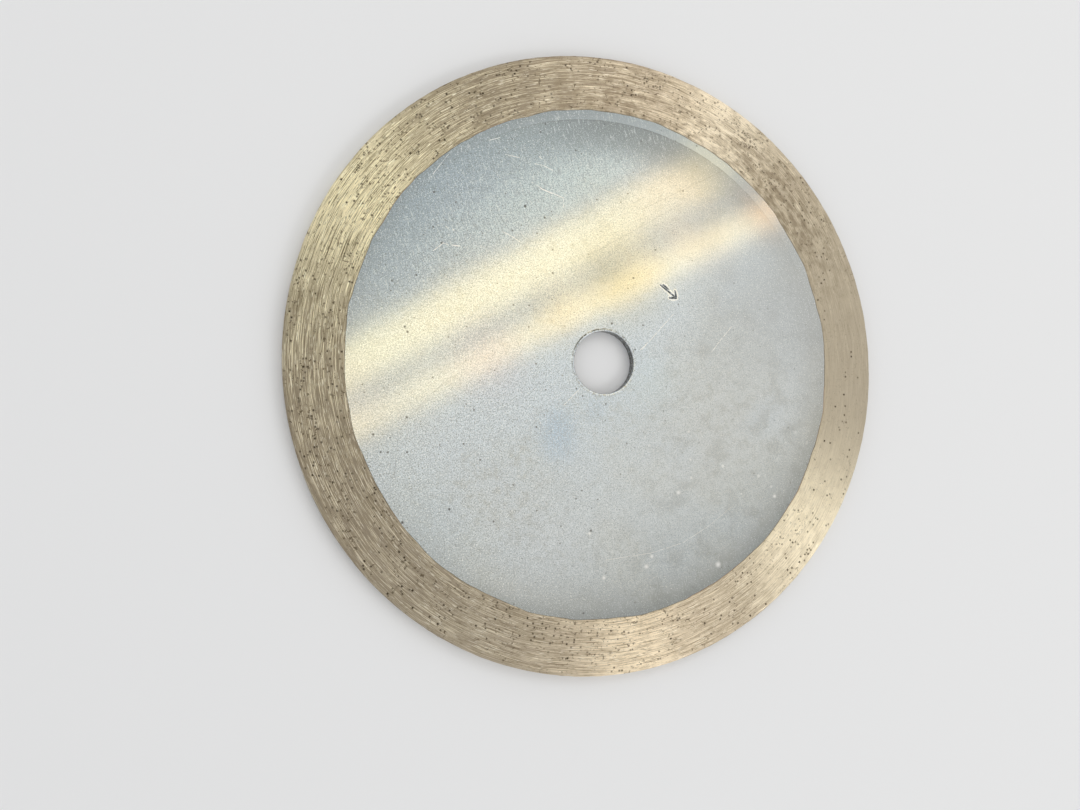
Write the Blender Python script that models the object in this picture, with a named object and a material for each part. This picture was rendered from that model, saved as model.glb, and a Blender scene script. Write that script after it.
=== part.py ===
"""Continuous-rim diamond blade: a steel core with a sintered diamond rim keyed and brazed round it.

The blade lies flat, centred on the origin. +Z runs along the arbor axis, and Z = 0 is the middle of
its thickness.
"""

import math

import bmesh
import bpy
from mathutils import Matrix

MM = 0.001

# Driving dimensions, in metres.
BLADE_DIAMETER = 125.0 * MM
BORE_DIAMETER = 12.7 * MM
RIM_DEPTH = 11.0 * MM
RIM_THICKNESS = 2.5 * MM
CORE_THICKNESS = 2.1 * MM

# The narrow land next to the rim stands a little proud of the rest of the core.
LAND_WIDTH = 2.1 * MM
LAND_THICKNESS = 2.2 * MM

# Chamfers.
BORE_CHAMFER = 0.1 * MM
RIM_CORNER = 0.2 * MM
SHOULDER_CHAMFER = 0.1 * MM

# The hidden joint: a tongue on the core sits in a groove in the rim, and the braze foil lies between them.
JOINT_GAP = 0.3 * MM
FOIL = 0.15 * MM
TONGUE_REACH = 3.0 * MM
TONGUE_THICKNESS = 0.9 * MM

# Notches cut in the tongue, where lugs of the rim fill through and carry the cutting torque.
KEY_COUNT = 24
KEY_WIDTH = 2.4 * MM
KEY_DEPTH = 1.8 * MM

SEGMENTS = 144

# Worked out from the sizes above.
RIM_OUTER = BLADE_DIAMETER / 2
RIM_INNER = RIM_OUTER - RIM_DEPTH
LAND_INNER = RIM_INNER - LAND_WIDTH
FOIL_FIT = (JOINT_GAP - FOIL) / 2
SHOULDER = RIM_INNER - JOINT_GAP
TONGUE_TIP = SHOULDER + TONGUE_REACH
GROOVE_FLOOR = TONGUE_TIP + JOINT_GAP
GROOVE_WIDTH = TONGUE_THICKNESS + 2 * JOINT_GAP
KEY_ROOT = TONGUE_TIP - KEY_DEPTH


def clear_scene():
    for thing in list(bpy.data.objects):
        bpy.data.objects.remove(thing)


def material(name, colour, metallic, roughness):
    made = bpy.data.materials.new(name)
    made.use_nodes = True
    shader = made.node_tree.nodes["Principled BSDF"]
    shader.inputs["Base Color"].default_value = (*colour, 1.0)
    shader.inputs["Metallic"].default_value = metallic
    shader.inputs["Roughness"].default_value = roughness
    made.diffuse_color = (*colour, 1.0)
    return made


def mirrored(upper_half):
    """A closed (radius, height) outline from its upper half, which is listed from the inside outwards."""
    return upper_half + [(radius, -height) for radius, height in reversed(upper_half)]


def turned(name, outline):
    """A ring turned about Z from a closed outline of (radius, height) points."""
    mesh = bpy.data.meshes.new(name)
    built = bmesh.new()
    corners = [built.verts.new((radius, 0.0, height)) for radius, height in outline]
    edges = [built.edges.new((corners[i - 1], corners[i])) for i in range(len(corners))]
    bmesh.ops.spin(
        built,
        geom=corners + edges,
        cent=(0.0, 0.0, 0.0),
        axis=(0.0, 0.0, 1.0),
        angle=2 * math.pi,
        steps=SEGMENTS,
        use_merge=True,
    )
    bmesh.ops.recalc_face_normals(built, faces=built.faces)
    built.to_mesh(mesh)
    built.free()
    mesh.shade_smooth()
    mesh.set_sharp_from_angle(angle=math.radians(30))
    made = bpy.data.objects.new(name, mesh)
    bpy.context.scene.collection.objects.link(made)
    return made


def key_blocks(name, inner, outer, width, height):
    """The blocks of one key ring in one helper mesh, evenly spaced and pointing outwards."""
    mesh = bpy.data.meshes.new(name)
    built = bmesh.new()
    for index in range(KEY_COUNT):
        placed = (
            Matrix.Rotation(2 * math.pi * index / KEY_COUNT, 4, "Z")
            @ Matrix.Translation(((inner + outer) / 2, 0.0, 0.0))
            @ Matrix.Diagonal((outer - inner, width, height, 1.0))
        )
        bmesh.ops.create_cube(built, size=1.0, matrix=placed)
    built.to_mesh(mesh)
    built.free()
    made = bpy.data.objects.new(name, mesh)
    bpy.context.scene.collection.objects.link(made)
    return as_helper(made)


def as_helper(thing):
    thing.hide_render = True
    thing.display_type = "WIRE"
    return thing


def cut(target, cutter):
    subtraction = target.modifiers.new("cut_" + cutter.name, "BOOLEAN")
    subtraction.operation = "DIFFERENCE"
    subtraction.solver = "EXACT"
    subtraction.object = cutter
    return target


def steel_core():
    """The ground steel disc: arbor bore in the middle, a land and a notched tongue round its edge."""
    bore = BORE_DIAMETER / 2
    face = CORE_THICKNESS / 2
    land = LAND_THICKNESS / 2
    tongue = TONGUE_THICKNESS / 2
    outline = mirrored(
        [
            (bore, face - BORE_CHAMFER),
            (bore + BORE_CHAMFER, face),
            (LAND_INNER, face),
            (LAND_INNER, land),
            (SHOULDER - SHOULDER_CHAMFER, land),
            (SHOULDER, land - SHOULDER_CHAMFER),
            (SHOULDER, tongue),
            (TONGUE_TIP, tongue),
        ]
    )
    notch_width = KEY_WIDTH + 2 * JOINT_GAP
    notches = key_blocks("notch_cutter", KEY_ROOT - JOINT_GAP, RIM_OUTER, notch_width, CORE_THICKNESS)
    return cut(turned("steel_core", outline), notches)


def braze_foil():
    """The copper foil folded over the tongue, with its two lips up the shoulder. The keys pass through it."""
    lip = LAND_THICKNESS / 2 - SHOULDER_CHAMFER
    root = SHOULDER + FOIL_FIT
    tip = TONGUE_TIP + FOIL_FIT
    inside = TONGUE_THICKNESS / 2 + FOIL_FIT
    outside = inside + FOIL
    outline = [
        (root, lip),
        (root + FOIL, lip),
        (root + FOIL, outside),
        (tip + FOIL, outside),
        (tip + FOIL, -outside),
        (root + FOIL, -outside),
        (root + FOIL, -lip),
        (root, -lip),
        (root, -inside),
        (tip, -inside),
        (tip, inside),
        (root, inside),
    ]
    slot_width = KEY_WIDTH + 2 * FOIL_FIT
    slots = key_blocks("slot_cutter", KEY_ROOT - FOIL_FIT, RIM_OUTER, slot_width, CORE_THICKNESS)
    return cut(turned("braze_foil", outline), slots)


def groove_cutter():
    """The groove that the tongue and the foil fill. It is left out where the lugs stand."""
    half = GROOVE_WIDTH / 2
    start = RIM_INNER - RIM_DEPTH / 2
    groove = turned("groove_cutter", mirrored([(start, half), (GROOVE_FLOOR, half)]))
    lugs = key_blocks("lug_cutter", KEY_ROOT, RIM_OUTER, KEY_WIDTH, RIM_THICKNESS)
    return as_helper(cut(groove, lugs))


def diamond_rim():
    """The sintered bronze ring that holds the diamond: grooved inside, with lugs across the groove."""
    face = RIM_THICKNESS / 2
    outline = mirrored(
        [
            (RIM_INNER, face),
            (RIM_OUTER - RIM_CORNER, face),
            (RIM_OUTER, face - RIM_CORNER),
        ]
    )
    return cut(turned("diamond_rim", outline), groove_cutter())


def main():
    clear_scene()
    steel_core().data.materials.append(material("core_steel", (0.62, 0.66, 0.68), 1.0, 0.38))
    braze_foil().data.materials.append(material("braze_copper", (0.72, 0.43, 0.26), 1.0, 0.4))
    diamond_rim().data.materials.append(material("rim_bronze", (0.60, 0.52, 0.40), 1.0, 0.42))


main()
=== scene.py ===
"""The looks of a continuous-rim diamond blade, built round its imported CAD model.

Lengths are metres in the CAD's frame: the blade lies flat, centred on the origin, +Z along its arbor axis.
"""

import functools
import math

import bmesh
import bpy
import numpy as np
from mathutils import Matrix, Vector


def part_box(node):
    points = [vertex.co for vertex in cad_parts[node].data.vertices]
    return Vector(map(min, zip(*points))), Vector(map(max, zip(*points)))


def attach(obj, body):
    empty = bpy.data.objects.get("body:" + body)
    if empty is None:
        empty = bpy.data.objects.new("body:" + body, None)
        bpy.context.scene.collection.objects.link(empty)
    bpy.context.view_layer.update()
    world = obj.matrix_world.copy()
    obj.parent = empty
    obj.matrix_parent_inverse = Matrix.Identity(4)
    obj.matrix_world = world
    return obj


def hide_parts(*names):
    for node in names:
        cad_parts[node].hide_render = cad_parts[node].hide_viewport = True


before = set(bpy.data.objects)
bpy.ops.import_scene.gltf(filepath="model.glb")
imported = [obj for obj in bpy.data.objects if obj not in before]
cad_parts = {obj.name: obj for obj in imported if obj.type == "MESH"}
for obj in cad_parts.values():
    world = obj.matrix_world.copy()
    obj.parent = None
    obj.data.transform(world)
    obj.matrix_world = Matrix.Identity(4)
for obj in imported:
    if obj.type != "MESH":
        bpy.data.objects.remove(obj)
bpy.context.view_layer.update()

MM = 0.001
TURN = 2 * math.pi

# The blade, as the CAD has it.
RIM_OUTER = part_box("diamond_rim")[1].x
RIM_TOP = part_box("diamond_rim")[1].z
LAND_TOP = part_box("steel_core")[1].z
TONGUE_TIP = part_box("steel_core")[1].x
RIM_INNER = RIM_OUTER - 11.0 * MM
LAND_INNER = RIM_INNER - 2.1 * MM
SHOULDER = RIM_INNER - 0.3 * MM
CORE_TOP = 1.05 * MM
BORE = 6.35 * MM
BORE_CHAMFER = 0.1 * MM
TONGUE_HALF = 0.45 * MM
FOIL = 0.28 * MM
KEY_ROOT = TONGUE_TIP - 1.8 * MM
KEY_COUNT = 24

# Grids. Both column counts are multiples of the key count.
RIM_COLUMNS = 720
CORE_COLUMNS = 360

# Clearance between pieces that would otherwise touch.
FIT = 0.01 * MM

PIT_SIDES = 7
CLUSTER_SHARE = 0.55
CLUSTER_SPREAD = 3


# ---------------- shapes


def ease(t):
    return t * t * (3 - 2 * t)


def ring_noise(rng, rows, columns, across, around):
    """Smooth noise from -1 to 1. across runs from 0 to 1 over rows cells, around is in turns and wraps."""
    lattice = rng.uniform(-1, 1, (rows + 1, columns))
    a = np.clip(across, 0, 1) * rows
    b = (np.asarray(around) % 1) * columns
    i = np.minimum(a.astype(int), rows - 1)
    j = b.astype(int) % columns
    next_j = (j + 1) % columns
    down, along = ease(a - i), ease(b - np.floor(b))
    near = lattice[i, j] * (1 - along) + lattice[i, next_j] * along
    far = lattice[i + 1, j] * (1 - along) + lattice[i + 1, next_j] * along
    return near * (1 - down) + far * down


def wave_round(rng, columns, around):
    """Smooth noise from -1 to 1 round the axis only."""
    return ring_noise(rng, 1, columns, np.zeros_like(around), around)


def bridge(outer, inner):
    """Triangles between two loops of (angle, index) that run the same way round one centre."""
    outer, inner = sorted(outer), sorted(inner)
    faces, i, j = [], 0, 0
    while i < len(outer) or j < len(inner):
        o, n = outer[i % len(outer)][1], inner[j % len(inner)][1]
        next_outer = outer[(i + 1) % len(outer)][0] + TURN * (i + 1 >= len(outer))
        next_inner = inner[(j + 1) % len(inner)][0] + TURN * (j + 1 >= len(inner))
        if j >= len(inner) or (i < len(outer) and next_outer <= next_inner):
            faces.append((o, outer[(i + 1) % len(outer)][1], n))
            i += 1
        else:
            faces.append((n, o, inner[(j + 1) % len(inner)][1]))
            j += 1
    return faces


def border(rows, columns):
    """The grid steps round a block of cells, in order."""
    return (
        [(k, 0) for k in range(rows)]
        + [(rows, k) for k in range(columns)]
        + [(rows - k, columns) for k in range(rows)]
        + [(0, columns - k) for k in range(columns)]
    )


def turn_of(place, centre, pitch):
    """The angle of a place about a centre. Both are in rows and columns, and pitch gives their lengths."""
    return math.atan2((place[1] - centre[1]) * pitch[1], (place[0] - centre[0]) * pitch[0])


def add_piece(name, data):
    piece = bpy.data.objects.new(name, data)
    bpy.context.scene.collection.objects.link(piece)
    return piece


class Turned:
    """A turned solid: a closed outline of rows, repeated at each column round the axis.

    The outline runs outwards over the front face, down the edge and inwards over the back.
    """

    def __init__(self, radius, height):
        self.radius, self.height = radius, height
        self.rows, self.columns = radius.shape
        self.left_out = np.zeros(radius.shape, bool)
        self.more_points, self.more_faces, self.grime = [], [], {}
        self.row_painted_shade = np.zeros(self.rows)

    def index(self, row, column):
        return (row % self.rows) * self.columns + column % self.columns

    def join(self, first, second, start, width):
        """Faces between two rows, over a run of columns."""
        for column in range(start, start + width):
            corners = ((first, column), (second, column), (second, column + 1), (first, column + 1))
            self.more_faces.append(tuple(self.index(*corner) for corner in corners))

    def at(self, row, column):
        """The point of the skin at a row and column that need not be whole."""
        i, j = math.floor(row), math.floor(column)
        u, v = row - i, column - j
        i, below, j, beside = i % self.rows, (i + 1) % self.rows, j % self.columns, (j + 1) % self.columns
        radius, height = (
            (grid[i, j] * (1 - v) + grid[i, beside] * v) * (1 - u)
            + (grid[below, j] * (1 - v) + grid[below, beside] * v) * u
            for grid in (self.radius, self.height)
        )
        angle = TURN * column / self.columns
        return Vector((radius * math.cos(angle), radius * math.sin(angle), height))

    def pitch(self, row, column):
        """How long one row and one column are there."""
        row_length = (self.at(row + 0.5, column) - self.at(row - 0.5, column)).length
        return row_length, self.at(row, column).xy.length * TURN / self.columns

    def add(self, point, grime=0.0):
        self.more_points.append(point)
        number = self.rows * self.columns + len(self.more_points) - 1
        if grime:
            self.grime[number] = grime
        return number

    def take_block(self, row, column, rows, columns):
        """Leaves out a block of cells. Gives False if some are out already."""
        i = np.arange(row, row + rows) % self.rows
        j = np.arange(column, column + columns) % self.columns
        block = np.ix_(i, j)
        if self.left_out[block].any():
            return False
        self.left_out[block] = True
        return True

    def block_loop(self, row, column, rows, columns, centre, pitch):
        """The points round a block, each with its angle about centre."""
        corners = [(row + i, column + j) for i, j in border(rows, columns)]
        return [(turn_of(corner, centre, pitch), self.index(*corner)) for corner in corners]

    def pit(self, rng, out, row, column, size, reach, depth):
        """Sinks a ragged pit into a block of cells. out gives the outward direction at a point."""
        if not self.take_block(row, column, *size):
            return None
        middle = (row + size[0] / 2, column + size[1] / 2)
        pitch = self.pitch(*middle)
        room = [side * step / 2 for side, step in zip(size, pitch)]
        spread = [min(reach, room[0] * 0.8), min(reach * rng.uniform(1.0, 1.7), room[1] * 0.8)]
        slack = [rng.uniform(-0.8, 0.8) * (far - used * 1.15) for far, used in zip(room, spread)]
        centre = [middle[k] + slack[k] / pitch[k] for k in (0, 1)]
        turned = TURN * (np.arange(PIT_SIDES) + rng.uniform(-0.3, 0.3, PIT_SIDES)) / PIT_SIDES
        lengths = rng.uniform(0.55, 1.12, PIT_SIDES)
        # Each pit is darkened inside: grime together with painted shade in its hollow.
        stain_and_shade = rng.uniform(0.55, 1.0)
        offsets = [
            (spread[0] * length * math.cos(angle), spread[1] * length * math.sin(angle))
            for length, angle in zip(lengths, turned)
        ]
        loops = []
        for share, sink, grime in ((1.0, 0.0, 0.7 * stain_and_shade), (0.68, 0.9, stain_and_shade)):
            places = [[centre[k] + share * offset[k] / pitch[k] for k in (0, 1)] for offset in offsets]
            points = [self.at(*place) for place in places]
            loops.append([self.add(point - out(point) * depth * sink, grime) for point in points])
        upper, lower = loops
        rim = [(math.atan2(offset[1], offset[0]), number) for offset, number in zip(offsets, upper)]
        self.more_faces += bridge(self.block_loop(row, column, *size, centre, pitch), rim)
        for k in range(PIT_SIDES):
            after = (k + 1) % PIT_SIDES
            self.more_faces.append((upper[k], upper[after], lower[after], lower[k]))
        self.more_faces.append(tuple(lower))
        return self.at(*centre)

    def key_window(self, first, count, width):
        """Closes the groove at each key. Its four rows, near, far, far and near, start at first."""
        spacing = self.columns // count
        for key in range(count):
            start = key * spacing - width // 2
            self.take_block(first, start, 3, width)
            self.join(first, first + 3, start, width)
            self.more_faces.append(tuple(self.index(first + k, start) for k in range(4)))
            self.more_faces.append(tuple(self.index(first + k, start + width) for k in (3, 2, 1, 0)))

    def build(self, name, sharp=40):
        angle = TURN * np.arange(self.columns) / self.columns
        grid = np.stack(
            [self.radius * np.cos(angle), self.radius * np.sin(angle), self.height], axis=-1
        ).reshape(-1, 3)
        points = np.concatenate([grid, np.array([tuple(p) for p in self.more_points]).reshape(-1, 3)])
        i, j = np.nonzero(~self.left_out)
        here, below = i * self.columns, (i + 1) % self.rows * self.columns
        beside = (j + 1) % self.columns
        quads = np.stack([here + j, below + j, below + beside, here + beside], axis=-1)
        mesh = bpy.data.meshes.new(name)
        mesh.from_pydata(points.tolist(), [], quads.tolist() + self.more_faces)
        # A tone for each point: grime together with painted shade in pits, strokes and the bore, and, where
        # negative, a painted highlight on the mark's burr.
        grime = np.zeros(len(points), np.float32)
        grime[: self.rows * self.columns] = np.repeat(self.row_painted_shade, self.columns)
        for number, value in self.grime.items():
            grime[number] = value
        mesh.attributes.new("grime", "FLOAT", "POINT").data.foreach_set("value", grime)
        drop_loose(mesh)
        mesh.shade_smooth()
        mesh.set_sharp_from_angle(angle=math.radians(sharp))
        return add_piece(name, mesh)


def drop_loose(mesh):
    """Removes grid points that no face uses, such as those under a refined patch."""
    work = bmesh.new()
    work.from_mesh(mesh)
    loose = [v for v in work.verts if not v.link_faces]
    for v in loose:
        work.verts.remove(v)
    work.to_mesh(mesh)
    work.free()


def upwards(point):
    return Vector((0, 0, 1))


def downwards(point):
    return Vector((0, 0, -1))


def outwards(point):
    return Vector((point.x, point.y, 0)).normalized()


# ---------------- rim


RIM_FACE = RIM_TOP - 0.015 * MM
RIM_WALL = RIM_OUTER - 0.08 * MM
RIM_ROW = 0.25 * MM
RIM_BACK_ROW = 0.5 * MM
RIM_FLANK = 1.1 * MM
RIM_FLANK_DROP = 0.10 * MM


def core_edge(around):
    """Where the core's face ends. Bronze has crept over it in places, so it runs in shallow scallops."""
    rng = np.random.default_rng(11)
    creep = 0.17 * wave_round(rng, 70, around) + 0.09 * wave_round(rng, 170, around)
    return SHOULDER + (0.11 + creep) * MM


def inner_edge(around):
    """The rim's inner edge, a thin line of braze away from the core."""
    return core_edge(around) + 0.09 * MM


def grid_places(rows, around):
    """For each point of a grid, how far it is across from the first row to the last, and its turn."""
    return np.linspace(0, 1, rows)[:, None] * np.ones_like(around), np.ones((rows, 1)) * around


def rim_face(rng, around, rows):
    """Radius and height of one face of the rim, from its inner edge to its outer corner."""
    across, turn = grid_places(rows, around)
    start = inner_edge(around) + 0.04 * MM
    end = RIM_WALL - 0.22 * MM + 0.03 * MM * wave_round(rng, 220, around)
    radius = start + (end - start) * across
    flank = 1 - np.clip((radius - start) / RIM_FLANK, 0, 1)
    height = (
        RIM_FACE
        - 0.010 * MM
        - RIM_FLANK_DROP * flank**2
        + 0.005 * MM * ring_noise(rng, 4, 36, across, turn)
        + 0.006 * MM * ring_noise(rng, rows - 1, 120, across, turn)
    )
    height[-1] -= 0.02 * MM
    return radius, height


def rim_edge(rng, around):
    """The worn outer corner and the cutting edge, top to bottom."""
    wall = np.linspace(RIM_FACE - 0.26 * MM, -RIM_FACE + 0.26 * MM, 9)
    corner_in, corner_down = 0.06 * MM, 0.10 * MM
    heights = np.concatenate([[RIM_FACE - corner_down], wall, [-RIM_FACE + corner_down]])
    height = heights[:, None] * np.ones_like(around)
    across, turn = grid_places(len(heights), around)
    radius = RIM_WALL + 0.04 * MM * ring_noise(rng, 10, 300, across, turn)
    radius += 0.025 * MM * wave_round(rng, 60, around)
    radius[0] -= corner_in
    radius[-1] -= corner_in
    return radius, height


def rim_inside(around):
    """The inner wall with the groove for the tongue, bottom to top."""
    lip = inner_edge(around)
    groove = TONGUE_HALF + FOIL + 2 * FIT
    floor = TONGUE_TIP + FOIL + 2 * FIT
    flat = np.ones_like(around)
    radius = np.stack([lip, lip, KEY_ROOT * flat, floor * flat, floor * flat, KEY_ROOT * flat, lip, lip])
    top = RIM_FACE - RIM_FLANK_DROP - 0.03 * MM
    heights = [-top, -groove, -groove, -groove, groove, groove, groove, top]
    return radius, np.array(heights)[:, None] * flat


def diamond_rim(grit):
    rng = np.random.default_rng(3)
    around = np.arange(RIM_COLUMNS) / RIM_COLUMNS
    front_rows = round((RIM_OUTER - RIM_INNER) / RIM_ROW)
    back_rows = round((RIM_OUTER - RIM_INNER) / RIM_BACK_ROW)
    front_r, front_z = rim_face(rng, around, front_rows)
    edge_r, edge_z = rim_edge(rng, around)
    back_r, back_z = rim_face(rng, around, back_rows)
    inside_r, inside_z = rim_inside(around)
    solid = Turned(
        np.concatenate([front_r, edge_r, back_r[::-1], inside_r]),
        np.concatenate([front_z, edge_z, -back_z[::-1], inside_z]),
    )
    back_start = front_rows + len(edge_r)
    solid.key_window(back_start + back_rows + 2, KEY_COUNT, 4)
    scatter_pits(rng, solid, upwards, (0, front_rows), (2, 1), 620, grit, 0.25)
    scatter_pits(rng, solid, downwards, (back_start, back_rows), (1, 1), 400, grit, 0.25)
    scatter_pits(rng, solid, outwards, (front_rows, len(edge_r)), (2, 1), 260, grit, 0.8)
    return solid.build("diamond_rim_ring")


def scatter_pits(rng, solid, out, band, size, wanted, grit, share_with_grit):
    """Pits where grit has pulled out, alone and in clusters, sparse on one side. Some keep their crystal."""
    first, rows = band
    made, near = 0, None
    while made < wanted:
        if near is None or rng.random() < 1 - CLUSTER_SHARE:
            row, column = rng.uniform(1, rows - size[0] - 1), rng.uniform(0, solid.columns)
        else:
            row, column = near[0] + rng.normal(0, CLUSTER_SPREAD), near[1] + rng.normal(0, CLUSTER_SPREAD)
        angle = TURN * column / solid.columns
        if rng.random() < 0.7 * math.exp(-((math.sin(angle / 2) / 0.35) ** 2)):
            continue
        if not 1 <= row < rows - size[0] - 1:
            continue
        reach = (0.09 + 0.22 * rng.random() ** 1.7) * MM
        depth = rng.uniform(0.25, 0.6) * reach
        centre = solid.pit(rng, out, first + int(row), int(column), size, reach, depth)
        if centre is None:
            near = None
            continue
        near = (row, column)
        made += 1
        if rng.random() < share_with_grit:
            grit.append((centre, out(centre), reach))


# ---------------- grit


CRYSTAL_CORNERS = [
    Vector(p)
    for p in (
        (1, 1, 0), (1, -1, 0), (-1, 1, 0), (-1, -1, 0),
        (1, 0, 1), (1, 0, -1), (-1, 0, 1), (-1, 0, -1),
        (0, 1, 1), (0, 1, -1), (0, -1, 1), (0, -1, -1),
    )
]


def diamond_grit(sites):
    """The blocky crystals, one in each site, sunk so that only their caps stand out."""
    rng = np.random.default_rng(23)
    work = bmesh.new()
    for centre, out, reach in sites:
        size = reach * rng.uniform(0.75, 0.95)
        stretch = Vector(rng.uniform(0.8, 1.1, 3))
        spin = Matrix.Rotation(rng.uniform(0, TURN), 3, Vector(rng.normal(size=3)).normalized())
        scale = Matrix.Diagonal(stretch * (size / math.sqrt(2)))
        corners = [spin @ scale @ corner for corner in CRYSTAL_CORNERS]
        cap = max(corner.dot(out) for corner in corners)
        proud = rng.uniform(0.0, 0.6)
        shift = out * (proud * 0.02 * MM - cap)
        verts = [work.verts.new(centre + corner + shift) for corner in corners]
        bmesh.ops.convex_hull(work, input=verts)
    mesh = bpy.data.meshes.new("diamond_grit")
    work.to_mesh(mesh)
    work.free()
    return add_piece("diamond_grit", mesh)


# ---------------- core


MARK_AT = Vector((14.2 * MM, 15.1 * MM))
MARK_TURNED = math.radians(-38)
STROKE_HALF = 0.18 * MM
STROKE_DEPTH = 0.12 * MM
STROKE_BURR = 0.016 * MM
MARK_REACH = 3.0 * MM
MARK_CELLS = 96
MARK_INSET = 0.4


def mark_strokes():
    """A small plain arrow, scribed by hand, each line with a second stroke beside it."""
    lines = [((-2.3, -0.1), (2.2, 0.1)), ((-1.8, 0.36), (-0.1, 0.40))]
    lines += [((2.3, 0.1), (1.0, 1.15)), ((2.2, 0.0), (1.25, 1.05))]
    lines += [((2.3, 0.0), (1.05, -0.95)), ((2.1, 0.1), (0.9, -0.8))]
    turned = Matrix.Rotation(MARK_TURNED, 2)
    return [tuple(MARK_AT + turned @ Vector(end) * MM for end in line) for line in lines]


def stroke_shape(point, strokes):
    """How far the strokes move the face at a point, and its tone: 1 deep in a stroke, where grime and painted
    shade darken it, -1 on its burr, where a painted highlight lightens it.
    """
    nearest = math.inf
    for start, end in strokes:
        along = end - start
        share = max(0.0, min(1.0, (point - start).dot(along) / along.length_squared))
        tapered = 1.0 - 0.45 * abs(2 * share - 1) ** 3
        wobble = 0.14 * math.sin(26 * share + 900 * start.x)
        width = STROKE_HALF * (tapered + wobble)
        nearest = min(nearest, (point - start - along * share).length / width)
    if nearest < 1:
        return -STROKE_DEPTH * (1 - nearest * nearest), (1 - nearest * nearest) ** 0.7
    burr = max(0.0, 1 - abs(nearest - 2.0))
    return STROKE_BURR * burr, -burr


def core_face(rng, around, radius, turned_by):
    """Height of a core face over its radii: nearly flat, with the land ramping up on one side."""
    across = (radius - radius[0]) / (radius[-1] - radius[0])
    turn = np.ones((len(radius), 1)) * around
    height = CORE_TOP - 0.012 * MM + 0.010 * MM * ring_noise(rng, 3, 9, across, turn)
    sided = ease(np.clip((np.cos(TURN * (turn - turned_by)) - 0.50) / 0.3, 0, 1))
    ramp = np.clip((radius - LAND_INNER) / (SHOULDER - LAND_INNER), 0, 1)
    return height + (LAND_TOP - CORE_TOP) * 0.6 * sided * ramp


def core_radii(around):
    """Radii of the rows of a core face, from the bore's lip to the edge that the bronze covers."""
    flat = np.ones_like(around)
    bore_lip = BORE + BORE_CHAMFER
    inner = (np.array([0.0, 0.08, 0.25, 0.6]) * MM + bore_lip)[:, None] * flat
    field = np.linspace(bore_lip + 1.2 * MM, LAND_INNER - 0.3 * MM, 42)[:, None] * flat
    land = (LAND_INNER + np.array([-0.06, 0.06, 0.5, 1.0, 1.5]) * MM)[:, None] * flat
    edge = core_edge(around)
    return np.concatenate([inner, field, land, [edge - 0.012 * MM]])


def engrave(solid, radii):
    """Refines the skin under the mark and sinks its strokes."""
    distance = MARK_AT.length
    half_turn = MARK_REACH / distance / TURN * solid.columns
    middle = math.atan2(MARK_AT.y, MARK_AT.x) / TURN * solid.columns
    row = int(np.searchsorted(radii[:, 0], distance - MARK_REACH)) - 1
    rows = int(np.searchsorted(radii[:, 0], distance + MARK_REACH)) + 1 - row
    column = round(middle - half_turn) - 1
    columns = round(middle + half_turn) + 1 - column
    solid.take_block(row, column, rows, columns)
    centre = (row + rows / 2, column + columns / 2)
    pitch = solid.pitch(*centre)
    fine = MARK_CELLS
    strokes = mark_strokes()
    numbers = np.zeros((fine + 1, fine + 1), int)
    places = np.zeros((fine + 1, fine + 1, 2))
    for i in range(fine + 1):
        for j in range(fine + 1):
            places[i, j] = (
                row + MARK_INSET + (rows - 2 * MARK_INSET) * i / fine,
                column + MARK_INSET + (columns - 2 * MARK_INSET) * j / fine,
            )
            point = solid.at(*places[i, j])
            moved, tone = stroke_shape(point.xy, strokes)
            point.z += moved
            numbers[i, j] = solid.add(point, grime=tone)
    for i in range(fine):
        for j in range(fine):
            corners = ((i, j), (i + 1, j), (i + 1, j + 1), (i, j + 1))
            solid.more_faces.append(tuple(int(numbers[corner]) for corner in corners))
    inner = [(turn_of(places[step], centre, pitch), int(numbers[step])) for step in border(fine, fine)]
    solid.more_faces += bridge(solid.block_loop(row, column, rows, columns, centre, pitch), inner)


def steel_core():
    rng = np.random.default_rng(5)
    around = np.arange(CORE_COLUMNS) / CORE_COLUMNS
    flat = np.ones_like(around)
    radii = core_radii(around)
    edge = core_edge(around)
    front = core_face(rng, around, radii, 94 / 360)
    back = core_face(rng, around, radii, 210 / 360)
    burr = 0.012 * MM * (0.6 + 0.4 * wave_round(rng, 40, around))
    for face in (front, back):
        face[0] -= 0.02 * MM
        face[1] += burr
    wall = np.linspace(-CORE_TOP + BORE_CHAMFER, CORE_TOP - BORE_CHAMFER, 7)
    tongue = [(radius * flat, TONGUE_HALF) for radius in (SHOULDER, KEY_ROOT, TONGUE_TIP)]
    tongue += [(radius, -height) for radius, height in reversed(tongue)]
    corner = 0.02 * MM
    radius = [radii, [edge], [r for r, z in tongue], [edge], radii[::-1], [BORE * flat] * len(wall)]
    height = [front, front[-1:] - corner, [z * flat for r, z in tongue], corner - back[-1:], -back[::-1]]
    height.append(wall[:, None] * flat)
    solid = Turned(np.concatenate(radius), np.concatenate(height))
    # The bore's wall is darkened: painted shade.
    solid.row_painted_shade[-len(wall) :] = 0.8
    solid.key_window(len(radii) + 2, KEY_COUNT, 3)
    engrave(solid, radii)
    return solid.build("steel_core_disc", sharp=30)


# ---------------- braze


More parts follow.
